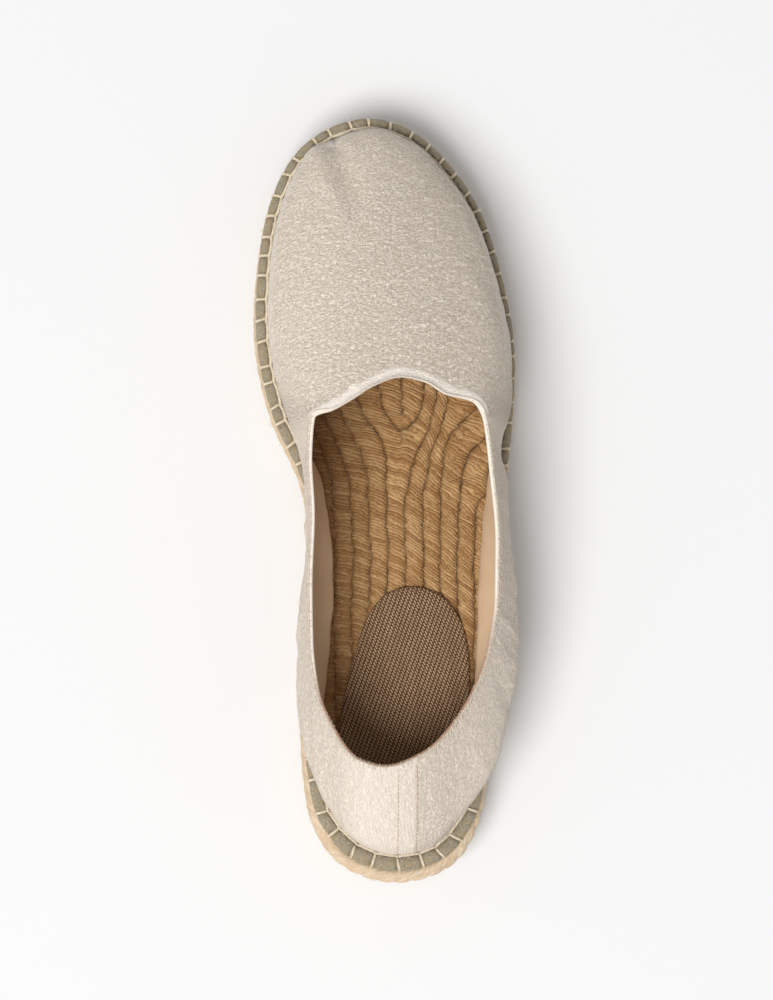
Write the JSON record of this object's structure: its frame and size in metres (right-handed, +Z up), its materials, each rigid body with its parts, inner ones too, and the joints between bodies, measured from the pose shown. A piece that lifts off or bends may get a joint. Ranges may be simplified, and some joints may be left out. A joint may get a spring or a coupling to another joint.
{
  "type": "espadrille",
  "caption": "Flat slip-on espadrille for the right foot: cloth upper, blanket-stitched edge band and rope sole, empty and open at the collar.",
  "frame": {"origin": "under the middle of the shoe's bounding box, on the floor that it stands on", "axes": "+Y from heel to toe, +X towards the outer side of the right foot, +Z up"},
  "size_m": [0.0992, 0.2848, 0.0706],
  "materials": {
    "jute_rope": "braided natural jute rope laid in rows and stitched through, matt, hairy",
    "band_cloth": "grey-green cotton band under ecru waxed blanket stitches, matt",
    "slub_cloth": "off-white slubbed cotton and linen cloth, matt, with a cream cotton lining",
    "sock_weave": "brown and beige small-figured weave, matt"
  },
  "bodies": {
    "root": {"sole": "jute_rope", "edge_band": "band_cloth", "upper": "slub_cloth", "heel_sock": "sock_weave"}
  },
  "joints": []
}
